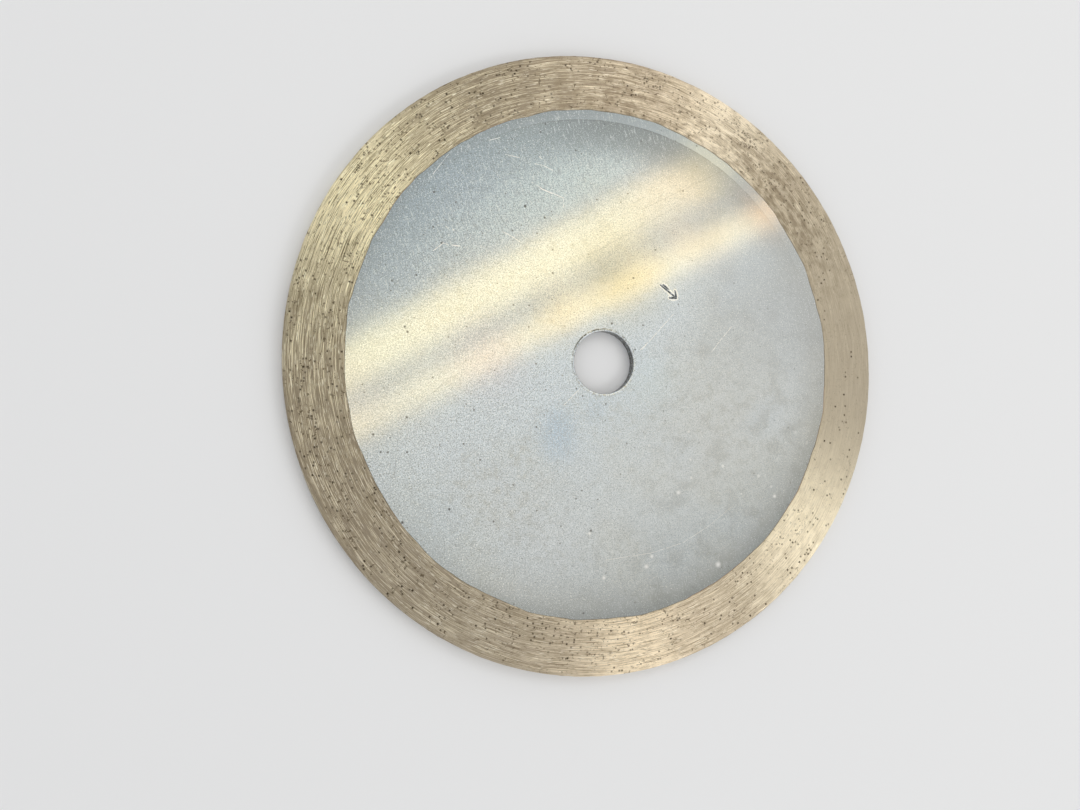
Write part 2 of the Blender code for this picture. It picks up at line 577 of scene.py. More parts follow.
def braze_foil():
    """The copper between core and rim. Its lips show as a thin uneven line round the core."""
    rng = np.random.default_rng(17)
    around = np.arange(RIM_COLUMNS) / RIM_COLUMNS
    near = core_edge(around) + FIT
    root = SHOULDER + FIT
    lip = inner_edge(around) - FIT
    inside, outside = TONGUE_HALF + FIT, TONGUE_HALF + FIT + FOIL
    tip = TONGUE_TIP + FIT
    low, low_back = (LAND_TOP - 0.03 * MM + 0.015 * MM * wave_round(rng, 240, around) for _ in range(2))
    rim_edge_top = RIM_FACE - RIM_FLANK_DROP - 0.005 * MM
    high, high_back = (rim_edge_top + 0.012 * MM * wave_round(rng, 300, around) for _ in range(2))
    outline = [
        (near, low),
        (lip, high),
        (lip, outside),
        (KEY_ROOT, outside),
        (tip + FOIL, outside),
        (tip + FOIL, -outside),
        (KEY_ROOT, -outside),
        (lip, -outside),
        (lip, -high_back),
        (near, -low_back),
        (root, -inside),
        (KEY_ROOT, -inside),
        (tip, -inside),
        (tip, inside),
        (KEY_ROOT, inside),
        (root, inside),
    ]
    flat = np.ones_like(around)
    solid = Turned(*(np.stack([value * flat for value in values]) for values in zip(*outline)))
    foil_window(solid, 3, 11, 6)
    return solid.build("braze_line")


def foil_window(solid, over, under, width):
    """Cuts the foil back at each key, from its outer skin and its inner skin together."""
    spacing = solid.columns // KEY_COUNT
    for key in range(KEY_COUNT):
        start = key * spacing - width // 2
        solid.take_block(over, start, 3, width)
        solid.take_block(under, start, 3, width)
        solid.join(over, under + 3, start, width)
        solid.join(under, over + 3, start, width)
        for column, order in ((start, 1), (start + width, -1)):
            for k in range(3):
                rows = (over + k, over + k + 1, under + 2 - k, under + 3 - k)[::order]
                solid.more_faces.append(tuple(solid.index(row, column) for row in rows))


# ---------------- node helpers


class Nodes:
    """Builds the nodes of one tree. A value given to a socket may be a number, a colour or another socket."""

    def __init__(self, tree):
        self.tree = tree
        self.tree.nodes.clear()

    def node(self, kind, inputs, **settings):
        made = self.tree.nodes.new(kind)
        for name, value in settings.items():
            setattr(made, name, value)
        for name, value in inputs.items():
            self.set(made.inputs[name], value)
        return made

    def set(self, socket, value):
        if isinstance(value, bpy.types.NodeSocket):
            self.tree.links.new(value, socket)
        else:
            socket.default_value = value

    def math(self, operation, a, b=0.0, c=0.0, clamp=False):
        made = self.node("ShaderNodeMath", {0: a, 1: b, 2: c}, operation=operation, use_clamp=clamp)
        return made.outputs[0]

    def times(self, a, b, clamp=False):
        return self.math("MULTIPLY", a, b, clamp=clamp)

    def total(self, base, *terms):
        """A base value plus each term's value times its weight."""
        for value, weight in terms:
            base = self.math("MULTIPLY_ADD", value, weight, base)
        return base

    def vector(self, operation, a, b=(0, 0, 0)):
        made = self.node("ShaderNodeVectorMath", {0: a, 1: b}, operation=operation)
        return made.outputs["Value" if operation in ("LENGTH", "DOT_PRODUCT", "DISTANCE") else "Vector"]

    def scaled(self, vector, scale):
        made = self.node("ShaderNodeVectorMath", {0: vector, "Scale": scale}, operation="SCALE")
        return made.outputs["Vector"]

    def remap(self, value, low, high, to_low=0.0, to_high=1.0):
        limits = {"Value": value, "From Min": low, "From Max": high, "To Min": to_low, "To Max": to_high}
        return self.node("ShaderNodeMapRange", limits, interpolation_type="SMOOTHSTEP").outputs["Result"]

    def near(self, value, middle, inner, outer):
        """1 where a value is within the inner distance of a middle, 0 beyond the outer distance."""
        away = self.math("ABSOLUTE", self.math("SUBTRACT", value, middle))
        return self.remap(away, inner, outer, 1.0, 0.0)

    def stripe(self, value, rise, fall):
        """Eases from 0 up to 1 over the first range of a value, and back to 0 over the second."""
        return self.times(self.remap(value, *rise), self.remap(value, *fall, 1.0, 0.0))

    def noise(self, vector, scale, detail=2.0, roughness=0.5):
        settings = {"Vector": vector, "Scale": scale, "Detail": detail, "Roughness": roughness}
        return self.node("ShaderNodeTexNoise", settings).outputs["Fac"]

    def mix(self, factor, a, b, blend="MIX"):
        made = self.node("ShaderNodeMix", {"Factor": factor}, data_type="RGBA", blend_type=blend)
        for name, value in (("A", a), ("B", b)):
            socket = next(s for s in made.inputs if s.name == name and s.type == "RGBA")
            self.set(socket, value if isinstance(value, bpy.types.NodeSocket) else (*value, 1.0))
        return next(s for s in made.outputs if s.type == "RGBA")

    def layers(self, colour, *rows):
        """A colour with tints laid over it in turn. Each row is a mask, its strength and a tint."""
        for mask, strength, tint in rows:
            colour = self.mix(self.times(mask, strength, clamp=True), colour, tint)
        return colour


class Shader(Nodes):
    """The nodes of one material."""

    def __init__(self, name):
        self.material = bpy.data.materials.new(name)
        self.material.use_nodes = True
        super().__init__(self.material.node_tree)

    @functools.cached_property
    def place(self):
        """The piece's own coordinates in millimetres, made once."""
        return self.scaled(self.node("ShaderNodeTexCoord", {}).outputs["Object"], 1 / MM)

    def bump(self, height, strength, distance):
        settings = {"Strength": strength, "Distance": distance, "Height": height}
        return self.node("ShaderNodeBump", settings).outputs[0]

    def principled(self, **inputs):
        named = {name.replace("_", " "): value for name, value in inputs.items()}
        return self.node("ShaderNodeBsdfPrincipled", named)

    def finish(self, shader):
        self.node("ShaderNodeOutputMaterial", {"Surface": shader.outputs[0]})
        return self.material


class TurnedShader(Shader):
    """A shader for the ring or the disc, whose masks follow their round shape.

    depth is radius plus height in millimetres, so it runs on over an edge. heading points away from the axis.
    """

    def __init__(self, name):
        super().__init__(name)
        parts = self.node("ShaderNodeSeparateXYZ", {0: self.place}).outputs
        flat = self.node("ShaderNodeCombineXYZ", {"X": parts["X"], "Y": parts["Y"]}).outputs[0]
        self.height = parts["Z"]
        self.heading = self.vector("NORMALIZE", flat)
        self.depth = self.math("ADD", self.vector("LENGTH", flat), self.height)
        # The per-point tone: grime with painted shade where positive, a painted highlight where negative.
        self.grime = self.node("ShaderNodeAttribute", {}, attribute_name="grime").outputs["Fac"]

    def along(self, direction):
        """How far a place lies along a direction, in millimetres times the direction's length."""
        return self.vector("DOT_PRODUCT", self.place, direction)

    def streaks(self, length, width, detail, seed):
        """Noise drawn out round the axis: length and width of its streaks in millimetres."""
        around = self.scaled(self.heading, RIM_OUTER / MM / length)
        steps = self.total(seed, (self.depth, 1 / width))
        across = self.node("ShaderNodeCombineXYZ", {"Z": steps}).outputs[0]
        return self.noise(self.vector("ADD", around, across), 1.0, detail, 0.5)

    def dots(self, spacing, size, share):
        """Scattered dots, one to a cell, of which a share is kept. Spacing and size are in millimetres."""
        cell = self.node("ShaderNodeTexVoronoi", {"Vector": self.place, "Scale": 1 / spacing}).outputs
        draw = self.node("ShaderNodeSeparateColor", {"Color": cell["Color"]}).outputs
        reach = self.total(size / spacing * 0.3, (draw["Green"], size / spacing * 0.7))
        inside = self.remap(self.math("DIVIDE", cell["Distance"], reach), 0.6, 1.1, 1.0, 0.0)
        return self.times(inside, self.math("LESS_THAN", draw["Red"], share))

    def sector(self, degrees, narrow):
        """One broad lobe round the axis: 1 at an angle, falling to 0 away from it."""
        angle = math.radians(degrees)
        facing = self.vector("DOT_PRODUCT", self.heading, (math.cos(angle), math.sin(angle), 0))
        return self.math("POWER", self.math("MULTIPLY_ADD", facing, 0.5, 0.5, clamp=True), narrow)

    def lobes(self, base, *rows):
        """A base value plus a lobe for each row of degrees, narrowness and weight."""
        return self.total(base, *((self.sector(degrees, narrow), weight) for degrees, narrow, weight in rows))

    def spot(self, centre, reach):
        """1 at a place in millimetres, easing to 0 at a distance from it."""
        distance = self.vector("DISTANCE", self.place, (*centre, CORE_FACE))
        return self.remap(distance, 0.0, reach, 1.0, 0.0)

    def round_tints(self, colour, *rows):
        """A colour with round tints laid over it. Each row is a centre, a reach, a strength and a tint."""
        return self.layers(colour, *((self.spot(*row[:2]), *row[2:]) for row in rows))

    def scratch(self, start, end, width):
        """1 along a straight line between two places in millimetres, 0 beyond its width."""
        start, end = Vector((*start, CORE_FACE)), Vector((*end, CORE_FACE))
        along = end - start
        from_start = self.vector("SUBTRACT", self.place, start)
        share = self.vector("DOT_PRODUCT", from_start, along / along.length_squared)
        foot = self.scaled(tuple(along), self.math("ADD", share, 0.0, clamp=True))
        distance = self.vector("DISTANCE", from_start, foot)
        return self.remap(distance, width * 0.25, width * 0.6, 1.0, 0.0)

    def largest(self, mask, rows):
        """The highest of one kind of mask, made once for each row of values."""
        highest = 0.0
        for row in rows:
            highest = self.math("MAXIMUM", highest, mask(*row))
        return highest


# ---------------- materials


# Lines that the tints follow, as radius plus height in millimetres, and the height of the core's face.
CORE_FACE = CORE_TOP / MM
BORE_LINE = (BORE + CORE_TOP) / MM
STEP_LINE = (LAND_INNER + CORE_TOP) / MM
RIM_START = (RIM_INNER + RIM_FACE) / MM
RIM_END = (RIM_OUTER + RIM_FACE) / MM

PALE_BRONZE = (1.0, 0.95, 0.80)


def rim_bronze():
    """Sintered bronze, drawn out in concentric grinding streaks, with darker and paler stretches round it
    that are painted shade and painted highlight from the lamps.
    """
    shader = TurnedShader("sintered_bronze")
    place = shader.place
    warp = shader.total(-0.25, (shader.noise(place, 0.10, 1.0, 0.5), 0.5))
    shader.depth = shader.math("ADD", shader.depth, warp)
    bright = shader.streaks(6.0, 0.09, 2.0, 3.1)
    dark = shader.streaks(7.0, 0.095, 2.0, 7.7)
    dash = shader.streaks(1.3, 0.17, 2.0, 9.4)
    glint = shader.streaks(2.2, 0.12, 1.0, 1.9)
    broad = shader.streaks(10.0, 1.6, 2.0, 5.2)
    patch = shader.streaks(2.6, 1.3, 2.0, 4.4)
    grain = shader.noise(place, 3.8, 2.0, 0.7)

    # How strongly the streaks show: less on the worn side and at the outer edge. The lobes draw them stronger
    # where their glints catch the lamps and weaker where they miss, a painted highlight.
    worn = shader.sector(0, 8)
    # Painted shade: two brown lobes round the ring where the lamps' sheen misses the bronze.
    painted_brown_shade = shader.lobes(0.0, (204, 7, 1.0), (114, 22, 1.0))
    drawn = shader.total(0.9, (worn, -0.75), (painted_brown_shade, -0.25))
    drawn = shader.lobes(drawn, (155, 10, 0.6), (65, 40, -0.15), (92, 40, 0.25), (120, 40, -0.15))
    drawn = shader.lobes(drawn, (318, 14, -0.22), (272, 20, 0.2))
    outermost = shader.remap(shader.depth, RIM_END - 1.6, RIM_END - 0.2)
    drawn = shader.times(drawn, shader.total(1.0, (outermost, -0.5)))
    uneven = shader.total(1.0, (worn, -0.8))

    # Painted highlight: golden lobes where the lamps' sheen runs along the grinding streaks.
    painted_golden_sheen = shader.lobes(0.0, (324, 50, 1.0), (276, 130, 1.0), (150, 70, 1.0), (63, 110, 1.0))
    # Over the bronze: the broad streaks, the lobes' painted shade and painted highlight, a darker stretch at
    # 301 degrees (painted shade) and a paler one at 61 (painted highlight), then streaks and glints.
    colour = shader.layers(
        (0.55, 0.475, 0.365),
        (shader.remap(broad, 0.35, 0.65), uneven, (0.64, 0.56, 0.43)),
        (painted_brown_shade, 0.95, (0.30, 0.25, 0.185)),
        (shader.sector(301, 90), 0.3, (0.33, 0.28, 0.205)),
        (painted_golden_sheen, 0.95, (1.0, 0.89, 0.67)),
        (shader.sector(61, 100), 0.5, PALE_BRONZE),
        (shader.remap(patch, 0.42, 0.62, 0.0, 0.3), uneven, (0.38, 0.32, 0.22)),
        (shader.remap(dark, 0.48, 0.62, 0.0, 0.75), drawn, (0.27, 0.22, 0.145)),
        (shader.remap(bright, 0.52, 0.64, 0.0, 0.75), drawn, (0.95, 0.86, 0.66)),
        (shader.remap(dash, 0.60, 0.70, 0.0, 0.7), drawn, (0.17, 0.135, 0.085)),
        (shader.remap(glint, 0.62, 0.74, 0.0, 0.8), drawn, PALE_BRONZE),
    )
    speckled = shader.lobes(0.0, (41, 40, 1.0), (88, 40, 0.8))
    inner_half = shader.remap(shader.depth, RIM_START + 4.0, RIM_END - 1.5, 1.0, 0.35)
    mottle = shader.times(shader.times(shader.remap(patch, 0.36, 0.66), inner_half), speckled)
    colour = shader.layers(
        colour,
        (mottle, 0.8, (0.33, 0.27, 0.19)),
        (shader.times(shader.remap(dash, 0.52, 0.64), mottle), 0.5, (0.17, 0.135, 0.09)),
    )
    rosy = shader.lobes(0.0, (72, 12, 1.0), (276, 16, 1.0))
    colour = shader.mix(rosy, colour, (1.0, 0.95, 0.925), blend="MULTIPLY")
    colour = shader.mix(shader.sector(148, 16), colour, (0.99, 1.0, 0.90), blend="MULTIPLY")
    torn = shader.remap(shader.noise(place, 1.5, 3.0, 0.65), 0.58, 0.64)
    torn = shader.times(torn, shader.remap(shader.noise(place, 0.2, 2.0, 0.6), 0.44, 0.58))
    colour = shader.layers(
        colour,
        (shader.remap(grain, 0.62, 0.74), 0.4, (0.15, 0.12, 0.08)),
        (shader.times(torn, uneven), 0.8, (0.12, 0.09, 0.055)),
        # Pits darkened, less on one side: grime with painted shade in their hollows.
        (shader.grime, shader.lobes(0.95, (66, 12, -0.4)), (0.10, 0.075, 0.045)),
    )

    rough = shader.remap(bright, 0.45, 0.68, 0.47, 0.36)
    rough = shader.math("ADD", rough, shader.remap(dark, 0.5, 0.66, 0.0, 0.08))
    rough = shader.math("ADD", rough, shader.remap(glint, 0.58, 0.70, 0.0, -0.08))
    rough = shader.total(rough, (shader.grime, 0.35))
    relief = shader.total(0.0, (bright, 0.5), (dark, -0.5), (dash, -0.3), (grain, 0.3))
    return shader.finish(
        shader.principled(
            Base_Color=colour,
            Metallic=1.0,
            Roughness=rough,
            Anisotropic=0.75,
            Anisotropic_Rotation=0.25,
            Normal=shader.bump(relief, 0.5, 0.03 * MM),
            Tangent=shader.node("ShaderNodeTangent", {}, direction_type="RADIAL", axis="Z").outputs[0],
        )
    )


# Marks on the front face, all in millimetres. A scratch or a score is its two ends and its width.
SCRATCHES = (
    ((-15.2, 35.5), (-13.1, 34.4), 0.16),
    ((-13.3, 34.4), (-11.0, 33.6), 0.24),
    ((-11.0, 33.7), (-8.7, 32.9), 0.16),
    ((-8.5, 33.1), (-8.6, 31.0), 0.13),
    ((-34.8, 20.6), (-33.8, 21.4), 0.16),
    ((-33.8, 21.4), (-32.9, 22.2), 0.20),
    ((-32.9, 22.2), (-32.1, 22.0), 0.18),
    ((-31.2, 21.9), (-29.7, 21.8), 0.26),
    ((-32.3, 25.4), (-32.0, 25.2), 0.30),
    ((-31.0, 25.0), (-30.8, 24.8), 0.22),
    ((-31.7, 39.9), (-33.4, 37.6), 0.09),
    ((-33.4, 37.6), (-34.9, 35.5), 0.12),
    ((-20.6, 40.6), (-17.7, 40.2), 0.15),
    ((-14.5, 39.3), (-12.6, 39.0), 0.13),
    ((-12.6, 39.0), (-10.8, 38.3), 0.15),
    ((-13.6, 40.8), (-13.1, 40.4), 0.17),
    ((-23.8, 43.1), (-21.8, 43.8), 0.14),
    ((-21.1, 25.2), (-19.5, 24.5), 0.14),
    ((-19.5, 24.5), (-17.7, 23.5), 0.17),
    ((15.3, 10.4), (8.3, 2.9), 0.10),
    ((28.8, 8.4), (26.1, 5.4), 0.10),
    ((26.1, 5.4), (24.0, 2.8), 0.10),
    ((0.2, -39.6), (10.2, -38.5), 0.07),
    ((10.2, -38.5), (17.3, -36.6), 0.07),
    ((17.3, -36.6), (23.0, -33.4), 0.08),
    ((23.0, -33.4), (28.8, -29.2), 0.06),
    ((-8.5, -8.7), (-5.1, -5.3), 0.10),
    ((7.9, 2.8), (9.5, 4.3), 0.12),
)
SCORES = (
    ((-22.0, 28.7), (-21.1, 27.4), 0.15),
    ((-21.1, 27.4), (-19.9, 26.0), 0.12),
    ((28.1, 4.6), (32.3, 7.0), 0.09),
    ((-34.1, -6.0), (-32.6, -4.8), 0.12),
    ((-32.6, -4.8), (-31.3, -4.2), 0.12),
    ((-15.8, -6.9), (-13.6, -4.3), 0.13),
    ((-39.5, -6.4), (-38.9, -9.4), 0.11),
    ((-43.1, -6.4), (-44.1, -7.8), 0.11),
    ((-41.6, -19.4), (-42.0, -22.7), 0.11),
    ((6.7, 30.9), (27.0, 41.5), 0.10),
    ((-1.9, 22.3), (17.9, 34.0), 0.08),
)

# Soft round patches: a centre and a reach, with a strength for each cloud.
CLOUDS = (
    ((-27.2, 33.4), 0.5, 0.6),
    ((-6.7, 23.3), 0.8, 0.45),
    ((-8.3, 7.0), 0.35, 0.8),
    ((-8.9, -2.8), 0.35, 0.8),
    ((22.1, 3.0), 3.2, 0.35),
    ((24.5, 14.2), 3.6, 0.2),
    ((28.0, 19.0), 4.0, 0.2),
    ((32.9, 10.0), 3.0, 0.15),
    ((38.4, 11.1), 3.0, 0.2),
)
DROPS = (
    ((16.2, -26.4), 0.7),
    ((9.0, -41.2), 0.7),
    ((25.1, -41.4), 0.9),
    ((-0.2, -43.1), 0.6),
    ((10.2, -39.2), 0.6),
    ((38.5, -27.5), 0.6),
    ((-3.2, -34.2), 0.5),
)

# Tints fixed to the disc: a centre, a reach, a strength and a colour.
STAIN_BLUE = (0.22, 0.47, 0.80)
BODY_STAINS_AND_LIGHT = (
    # The first four are painted light: paler patches, three in the gap between the lamp bands and one below
    # them. The three blue ones are stains.
    ((-7.8, 13.5), 9.0, 0.45, (0.98, 0.92, 0.70)),
    ((7.8, 21.2), 8.0, 0.45, (1.0, 0.93, 0.76)),
    ((16.8, 27.0), 7.0, 0.4, (1.0, 0.86, 0.68)),
    ((10.0, -4.0), 9.0, 0.4, (0.60, 0.82, 1.0)),
    ((-9.5, -12.6), 6.0, 0.65, STAIN_BLUE),
    ((-10.2, -16.4), 6.5, 0.6, STAIN_BLUE),
    ((-2.1, -9.7), 4.0, 0.3, STAIN_BLUE),
)
FILM_SHARE = 0.4
FILM_STAINS = (
    ((3.0, 17.0), 15.0, 0.85, (1.0, 0.76, 0.24)),
    ((38.0, 35.0), 12.0, 0.85, (1.0, 0.56, 0.30)),
    ((17.0, 37.0), 18.0, 0.85, (1.0, 0.74, 0.42)),
    ((24.0, 26.0), 11.0, 0.85, (1.0, 0.80, 0.50)),
    ((-9.5, 9.4), 9.0, 0.85, (1.0, 0.80, 0.44)),
    ((-24.0, 0.0), 12.0, 0.85, (1.0, 0.80, 0.66)),
    ((-50.0, -9.0), 12.0, 0.85, (1.0, 0.84, 0.66)),
)
GRIME_AND_SHADE_TINT = (0.05, 0.048, 0.04)

# Directions over the blade: across the two yellow bands, and from the gritty left to the cloudy right.
ACROSS_BANDS = (-0.5, 0.866, 0.0)
LEFT_TO_RIGHT = (0.96, -0.28, 0.0)


class CoreShader(TurnedShader):
    """The disc's shader, with the masks that its body and its film use."""

    def __init__(self, name):
        super().__init__(name)
        place, depth = self.place, self.depth
        self.grain = self.noise(place, 4.0, 3.0, 0.9)
        self.mottle = self.noise(place, 0.6, 3.0, 0.65)
        smudge = self.noise(place, 0.22, 4.0, 0.6)
        right = self.along(LEFT_TO_RIGHT)
        self.front = self.remap(self.height, 0.0, 0.9)
        # The mark's burr, from the negative tone: a painted highlight.
        self.burr = self.times(self.grime, -2.0, clamp=True)
        self.specks = self.largest(self.dots, ((3.4, 0.34, 0.5), (1.6, 0.28, 0.35)))
        self.specks = self.times(self.specks, self.remap(right, 0.0, 25.0, 1.0, 0.4))
        clouded = self.math("MAXIMUM", self.remap(right, 0.0, 25.0), self.spot((-6.0, 40.0), 26.0))
        self.smudged = self.times(self.remap(smudge, 0.48, 0.66), clouded)
        gritty = self.remap(right, -40.0, 40.0, 1.5, 0.75)
        self.coarse = self.times(self.remap(self.grain, 0.44, 0.62), gritty)
        self.sharp_grain = self.times(self.remap(self.grain, 0.60, 0.70), gritty)
        self.pale_grain = self.times(self.remap(self.grain, 0.42, 0.34), gritty)

        # Painted shade: a dark line along the step to the land at the top, broken by the mottle.
        self.seam = self.times(self.near(depth, STEP_LINE, 0.04, 0.16), self.sector(76, 9))
        self.seam = self.times(self.seam, self.remap(self.mottle, 0.35, 0.55, 0.4, 1.0))
        # Painted light: the land paler and bluer at the top, and its film's straw reflection dimmed there.
        self.land = self.times(self.remap(depth, STEP_LINE - 0.06, STEP_LINE + 0.06), self.sector(74, 13))
        self.nick = self.times(self.near(depth, BORE_LINE + 0.42, 0.07, 0.19), self.sector(125, 3))
        self.nick = self.times(self.nick, self.remap(self.noise(place, 0.9, 3.0, 0.8), 0.38, 0.50))

        self.broken = self.remap(self.noise(place, 1.4, 2.0, 0.7), 0.34, 0.50)
        self.dark_marks = self.times(self.times(self.largest(self.scratch, SCORES), self.front), self.broken)
        # Painted shade: the body darker on the right, and the film's reflection dimmed there.
        self.side = self.spot((40.0, 15.0), 30.0)
        # Painted shade: near the rim on the upper left, and faintly at the lower left, the body is cooled and
        # the film's straw reflection paled.
        self.cool = self.total(self.sector(138, 10), (self.sector(224, 24), 0.4))
        self.cool = self.times(self.cool, self.remap(depth, 34.0, 50.0))
        # Painted shade: a darker ring at the core's outer corner, weaker on two sides, and a broad darker
        # stretch towards the rim at the top.
        corner = self.total(1.0, (self.lobes(0.0, (28, 7, 1.0), (195, 10, 1.0)), -0.9))
        corner = self.times(self.remap(depth, 49.0, 52.4), corner)
        painted_top_shade = self.times(self.remap(depth, 39.5, 49.0), self.sector(82, 14))
        self.painted_rim_shade = self.total(0.0, (corner, 0.35), (painted_top_shade, 0.72))
        # Grime and painted shade from the per-point tone, in the strokes and on the bore's wall, laid on
        # unevenly.
        worn = self.remap(self.noise(place, 2.2, 2.0, 0.7), 0.40, 0.60, 0.55, 1.2)
        self.worn_grime_and_shade = self.times(self.grime, worn)


def core_steel():
    """Ground steel with a thin passivated film: a soft blue-grey body mixed with a sharper straw one."""
    shader = CoreShader("passivated_steel")
    metals = []
    for colour, rough, grain_depth in ((core_body, 0.29, 0.024 * MM), (core_film, 0.06, 0.003 * MM)):
        normal = shader.bump(shader.grain, 1.0, grain_depth)
        tint = colour(shader)
        metals.append(shader.principled(Base_Color=tint, Metallic=1.0, Roughness=rough, Normal=normal))
    both = {"Fac": FILM_SHARE, 1: metals[0].outputs[0], 2: metals[1].outputs[0]}
    return shader.finish(shader.node("ShaderNodeMixShader", both))


def core_body(shader):
    """The colour of the soft body: broad tints first, several of them painted light and shade along the lamp
    bands and towards the rim, then the grain, and the marks on top, the burr with a painted highlight.
    """
    bands = shader.along(ACROSS_BANDS)
    cloud = shader.remap(shader.noise(shader.place, 0.10, 3.0, 0.55), 0.35, 0.65)
    dappled = shader.total(0.4, (shader.spot((-26.0, -24.0), 22.0), 0.35))
    dappled = shader.total(dappled, (shader.spot((-6.0, 40.0), 24.0), 0.25))
    body = shader.mix(cloud, (0.475, 0.572, 0.69), (0.525, 0.622, 0.74))
    body = shader.layers(
        body,
        (shader.spot((-24.0, -6.0), 50.0), 0.5, (0.50, 0.68, 0.93)),
        (shader.spot((-2.0, -6.0), 24.0), 0.75, (0.50, 0.71, 1.0)),
        (shader.remap(shader.mottle, 0.46, 0.70), dappled, (0.28, 0.34, 0.39)),
        (shader.smudged, 0.5, (0.315, 0.345, 0.36)),
    )
    # Painted reflection: the body is warmed where the lamp bands fall.
    painted_band_warmth = shader.stripe(bands, (6.0, 13.0), (20.0, 32.0))
    body = shader.mix(painted_band_warmth, body, (1.0, 0.95, 0.88), blend="MULTIPLY")
    body = shader.mix(shader.remap(bands, -26.0, -40.0), body, (1.0, 0.98, 0.93), blend="MULTIPLY")
    # Painted light: paler stripes beside the lamp bands, one just below them and one above them.
    painted_light_above_bands = shader.times(shader.stripe(bands, (28.0, 33.0), (36.0, 44.0)), shader.spot((-10.0, 34.0), 44.0))
    body = shader.layers(
        body,
        (shader.stripe(bands, (-6.0, 2.0), (6.0, 12.0)), 0.7, (0.57, 0.72, 0.93)),
        (painted_light_above_bands, 1.0, (0.60, 0.76, 0.85)),
        (shader.spot((-14.0, 46.0), 24.0), 0.6, (0.50, 0.66, 0.72)),
        (shader.spot((0.0, -24.0), 26.0), 0.35, (0.60, 0.72, 0.82)),
        (shader.side, 0.85, (0.33, 0.375, 0.405)),
    )
    body = shader.round_tints(body, *BODY_STAINS_AND_LIGHT)
    shade = shader.lobes(0.52, (198, 8, -0.35), (20, 10, 0.12), (124, 14, -0.14))
    # Painted shade: the body darker towards the rim at the lower right.
    edge = shader.times(shader.remap(shader.depth, 46.5, 52.0), shader.sector(300, 5))
    fibre = shader.node(
        "ShaderNodeCombineXYZ", {"X": shader.along((2.6, 0.8, 0.0)), "Y": shader.along((-0.14, 0.45, 0.0))}
    ).outputs[0]
    fibre = shader.noise(fibre, 1.0, 3.0, 0.6)
    fibrous = shader.remap(bands, 24.0, 36.0, 0.25, 1.0)
    body = shader.layers(
        body,
        (shader.remap(shader.depth, 42.0, 51.5), shade, (0.19, 0.215, 0.225)),
        (shader.cool, 0.3, (0.36, 0.50, 0.62)),
        (edge, 0.32, (0.20, 0.22, 0.22)),
        (shader.painted_rim_shade, 1.0, (0.15, 0.17, 0.17)),
        (shader.times(shader.remap(fibre, 0.50, 0.66), fibrous), 0.55, (0.24, 0.29, 0.32)),
        (shader.times(shader.remap(fibre, 0.46, 0.34), fibrous), 0.45, (0.85, 0.92, 0.95)),
    )
    for centre, reach, strength in CLOUDS:
        faint = shader.times(shader.spot(centre, reach), shader.front)
        body = shader.layers(body, (faint, strength, (0.12, 0.13, 0.13)))
    blooms = shader.times(shader.dots(2.3, 0.42, 0.5), shader.spot((26.0, -26.0), 34.0))
    lip = shader.remap(shader.depth, BORE_LINE + 0.2, BORE_LINE + 0.9, 1.0, 0.0)
    lip = shader.times(lip, shader.remap(shader.noise(shader.place, 1.8, 2.0, 0.7), 0.52, 0.60))
    bright_marks = shader.times(shader.largest(shader.scratch, SCRATCHES), shader.front)
    return shader.layers(
        body,
        (shader.coarse, 0.7, (0.24, 0.29, 0.33)),
        (shader.pale_grain, 0.75, (0.92, 0.97, 1.0)),
        (shader.sharp_grain, 0.85, (0.08, 0.10, 0.11)),
        (shader.land, 0.4, (0.72, 0.80, 0.87)),
        (lip, 0.7, (0.10, 0.11, 0.11)),
        (shader.nick, 1.0, (0.06, 0.06, 0.06)),
        (shader.seam, 0.75, (0.13, 0.15, 0.16)),
        (blooms, 0.7, (0.88, 0.93, 0.98)),
        (shader.times(shader.largest(shader.spot, DROPS), shader.front), 0.9, (0.95, 0.97, 1.0)),
        (shader.times(bright_marks, shader.broken), 0.95, (1.0, 1.0, 1.0)),
        (shader.dark_marks, 0.6, (0.12, 0.12, 0.12)),
        (shader.specks, 0.85, (0.08, 0.08, 0.08)),
        (shader.worn_grime_and_shade, 1.0, GRIME_AND_SHADE_TINT),
        (shader.burr, 0.8, (1.0, 0.99, 0.94)),
    )


def core_film(shader):
    """The colour of the sharp film: straw, orange in places, dulled where the body is marked, and dimmed or
    paled elsewhere as painted shade, with a painted highlight on the mark's burr.
    """
    patch = shader.remap(shader.noise(shader.place, 0.05, 1.0, 0.5), 0.40, 0.60)
    film = shader.mix(patch, (1.0, 0.93, 0.76), (1.0, 0.90, 0.68))
    film = shader.round_tints(film, *FILM_STAINS)
    return shader.layers(
        film,
        (shader.smudged, 0.3, (0.66, 0.65, 0.58)),
        (shader.side, 0.7, (0.93, 0.93, 0.91)),
        (shader.cool, 0.7, (0.80, 0.93, 0.92)),
        # Painted shade: the film's reflection dimmed at two places on the lamp bands.
        (shader.spot((16.2, 31.4), 9.0), 0.4, (0.70, 0.70, 0.68)),
        (shader.spot((-44.0, -8.0), 11.0), 0.3, (0.60, 0.60, 0.58)),
        (shader.coarse, 0.45, (0.62, 0.55, 0.42)),
        (shader.sharp_grain, 0.8, (0.24, 0.21, 0.15)),
        (shader.dark_marks, 0.5, (0.20, 0.16, 0.10)),
        (shader.land, 0.35, (0.66, 0.69, 0.68)),
        (shader.seam, 0.5, (0.30, 0.30, 0.28)),
        (shader.painted_rim_shade, 0.9, (0.32, 0.33, 0.30)),
        (shader.nick, 0.95, (0.07, 0.07, 0.06)),
        (shader.specks, 0.85, (0.08, 0.06, 0.04)),
        (shader.worn_grime_and_shade, 1.0, GRIME_AND_SHADE_TINT),
        (shader.burr, 0.6, (1.0, 0.97, 0.86)),
    )


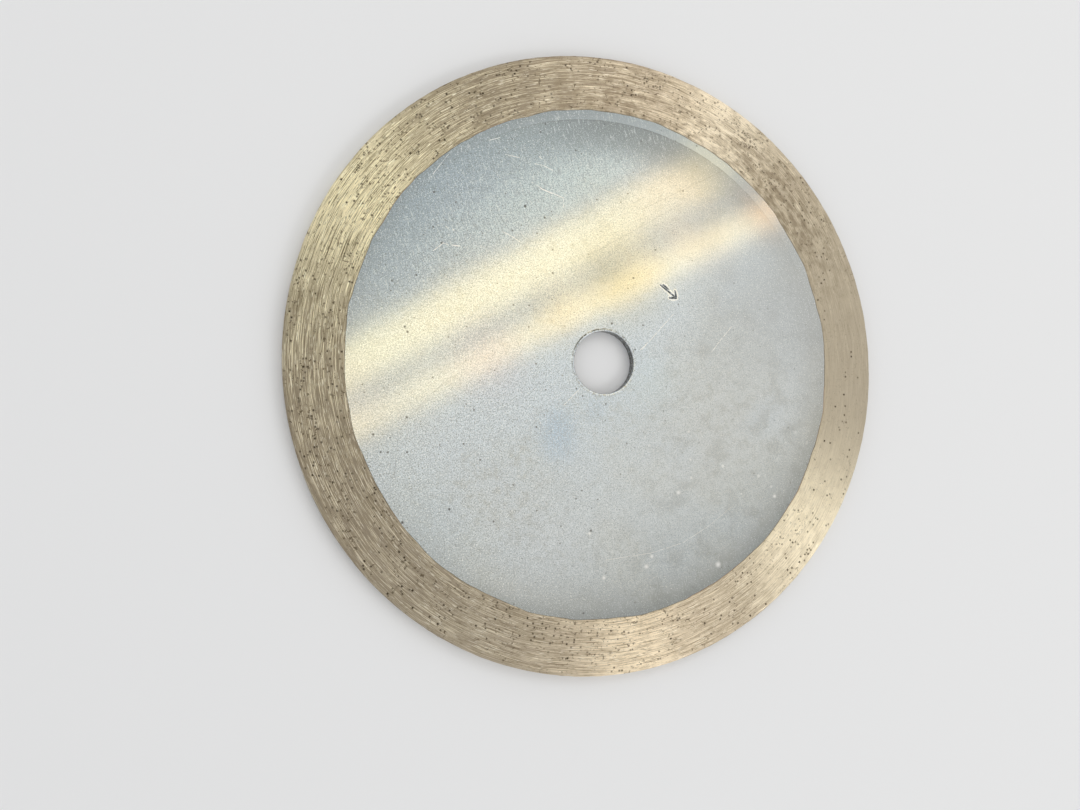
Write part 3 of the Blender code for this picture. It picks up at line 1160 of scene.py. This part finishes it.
def braze_copper():
    shader = Shader("braze_copper")
    tone = shader.noise(shader.place, 0.9, 3.0, 0.7)
    spread = shader.noise(shader.place, 0.06, 1.0, 0.5)
    colour = shader.mix(shader.remap(tone, 0.35, 0.65), (0.28, 0.235, 0.17), (0.46, 0.39, 0.28))
    colour = shader.mix(shader.remap(spread, 0.55, 0.65, 0.0, 0.7), colour, (0.58, 0.38, 0.24))
    normal = shader.bump(tone, 0.5, 0.03 * MM)
    return shader.finish(shader.principled(Base_Color=colour, Metallic=1.0, Roughness=0.5, Normal=normal))


def raw_diamond():
    shader = Shader("raw_diamond")
    tone = shader.remap(shader.noise(shader.place, 2.2, 1.0, 0.5), 0.35, 0.65)
    colour = shader.mix(tone, (0.20, 0.17, 0.09), (0.42, 0.37, 0.21))
    return shader.finish(shader.principled(Base_Color=colour, Metallic=0.0, Roughness=0.22, IOR=2.4))


def pale_floor():
    shader = Shader("pale_floor")
    return shader.finish(shader.principled(Base_Color=(0.86, 0.86, 0.87, 1.0), Roughness=0.75))


# ---------------- stage


# The camera, and its right, up and back axes.
CAMERA_AT = Vector((-63.5, -16.3, 168.6)) * MM + Vector((0, 0, RIM_TOP))
CAMERA_AXES = ((0.95879, 0.0, 0.2841), (-0.01218, 0.99908, 0.0411), (-0.28384, -0.04287, 0.9579))
LENS = 29.83
SENSOR = 36.0
NEAREST_SEEN = 0.005
FLOOR_HALF = 1.5

# The lights. The trough and the walls are given as sines of the angle from a plane through the blade.
STRIP_HEIGHT = 0.6
FILL_HEIGHT = 0.5
FILL_DEPTH = 0.2
FILL_COLOUR = (1.0, 0.98, 0.94)
TROUGH_NORMAL = (-0.5, 0.866, 0.115)
TROUGH_HALF = 0.12
TROUGH_SOFT = 0.17
TROUGH_LEVEL = 0.87
OVERHEAD_LEVEL = 0.46
WALL_LEVEL = 0.85
WALL_TOP = 0.60
OVERHEAD_FROM = 0.82
SKY_COLOUR = (0.97, 0.985, 1.0)
TROUGH_COLOUR = (0.985, 0.985, 0.985)


def camera():
    data = bpy.data.cameras.new("camera")
    data.lens = LENS
    data.sensor_width = SENSOR
    data.clip_start = NEAREST_SEEN
    eye = add_piece("camera", data)
    eye.matrix_world = Matrix.Translation(CAMERA_AT) @ Matrix(CAMERA_AXES).transposed().to_4x4()
    bpy.context.scene.camera = eye


def floor():
    mesh = bpy.data.meshes.new("floor")
    corners = [(x * FLOOR_HALF, y * FLOOR_HALF, 0) for x, y in ((-1, -1), (1, -1), (1, 1), (-1, 1))]
    mesh.from_pydata(corners, [], [(0, 1, 2, 3)])
    mesh.materials.append(pale_floor())
    piece = add_piece("floor", mesh)
    piece.location.z = -RIM_TOP


def strip_light(name, start, end, width, power, colour):
    """A long softbox whose reflection in the blade runs from start to end, as the camera sees it.

    The two ends are given in rim radii from the middle of the blade.
    """
    grow = 1 + STRIP_HEIGHT / CAMERA_AT.z
    shift = (grow - 1) * Vector((*CAMERA_AT.xy, 0))
    far = grow * RIM_OUTER
    a, b = (Vector((far * x, far * y, STRIP_HEIGHT)) - shift for x, y in (start, end))
    area_light(name, (a + b) / 2, ((b - a).length, width), power, colour, b - a)


def fill_light(name, start, end, length, power):
    """A broad soft panel above the blade, halfway between two places and lying the same way."""
    a, b = (Vector((*place, FILL_HEIGHT)) for place in (start, end))
    area_light(name, (a + b) / 2, (length, FILL_DEPTH), power, FILL_COLOUR, b - a)


def area_light(name, place, size, power, colour, along):
    """A panel that faces the middle of the blade, with its length along a direction."""
    data = bpy.data.lights.new(name, "AREA")
    data.shape = "RECTANGLE"
    data.size, data.size_y = size
    data.energy = power
    data.color = colour
    back = place.normalized()
    side = (along - along.dot(back) * back).normalized()
    turned = Matrix((side, back.cross(side), back)).transposed()
    add_piece(name, data).matrix_world = Matrix.Translation(place) @ turned.to_4x4()


def studio():
    strip_light("strip_upper", (-1.10, -0.207), (0.31, 0.630), 0.041, 0.060, (1.0, 0.91, 0.50))
    strip_light("strip_upper_far", (-1.10, -0.185), (-0.10, 0.400), 0.041, 0.008, (1.0, 0.92, 0.56))
    strip_light("strip_lower", (-1.10, -0.375), (0.76, 0.617), 0.022, 0.050, (1.0, 0.89, 0.52))
    fill_light("fill_right", (0.62, -0.20), (0.23, -0.45), 0.46, 0.6)
    fill_light("fill_top", (0.37, 0.43), (-0.18, 0.26), 0.57, 0.44)
    soft_sky()
    bpy.context.scene.view_settings.view_transform = "Standard"


def soft_sky():
    """A plain pale room: dimmer overhead, but for one broad soft trough of light beside the strips."""
    world = bpy.data.worlds.new("studio")
    world.use_nodes = True
    nodes = Nodes(world.node_tree)
    way = nodes.node("ShaderNodeTexCoord", {}).outputs["Generated"]
    lean = nodes.math("ABSOLUTE", nodes.vector("DOT_PRODUCT", way, Vector(TROUGH_NORMAL).normalized()))
    rise = nodes.vector("DOT_PRODUCT", way, (0, 0, 1))
    fade = (TROUGH_HALF, TROUGH_HALF + TROUGH_SOFT)
    trough = nodes.remap(lean, *fade, TROUGH_LEVEL, OVERHEAD_LEVEL)
    walls = nodes.remap(rise, WALL_TOP, OVERHEAD_FROM, WALL_LEVEL, OVERHEAD_LEVEL)
    colour = nodes.mix(nodes.remap(lean, *fade, 1.0, 0.0), SKY_COLOUR, TROUGH_COLOUR)
    light = {"Color": colour, "Strength": nodes.math("MAXIMUM", trough, walls)}
    background = nodes.node("ShaderNodeBackground", light)
    nodes.node("ShaderNodeOutputWorld", {"Surface": background.outputs[0]})
    bpy.context.scene.world = world


# ---------------- assembly


def dress(piece, material, slot, *nodes):
    piece.data.materials.append(material)
    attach(piece, "root")
    if nodes:
        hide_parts(*nodes)


def main():
    camera()
    grit_sites = []
    dress(diamond_rim(grit_sites), rim_bronze(), "rim_bronze", "diamond_rim")
    dress(diamond_grit(grit_sites), raw_diamond(), "rim_bronze")
    dress(steel_core(), core_steel(), "core_steel", "steel_core")
    dress(braze_foil(), braze_copper(), "braze_copper", "braze_foil")
    floor()
    studio()


main()
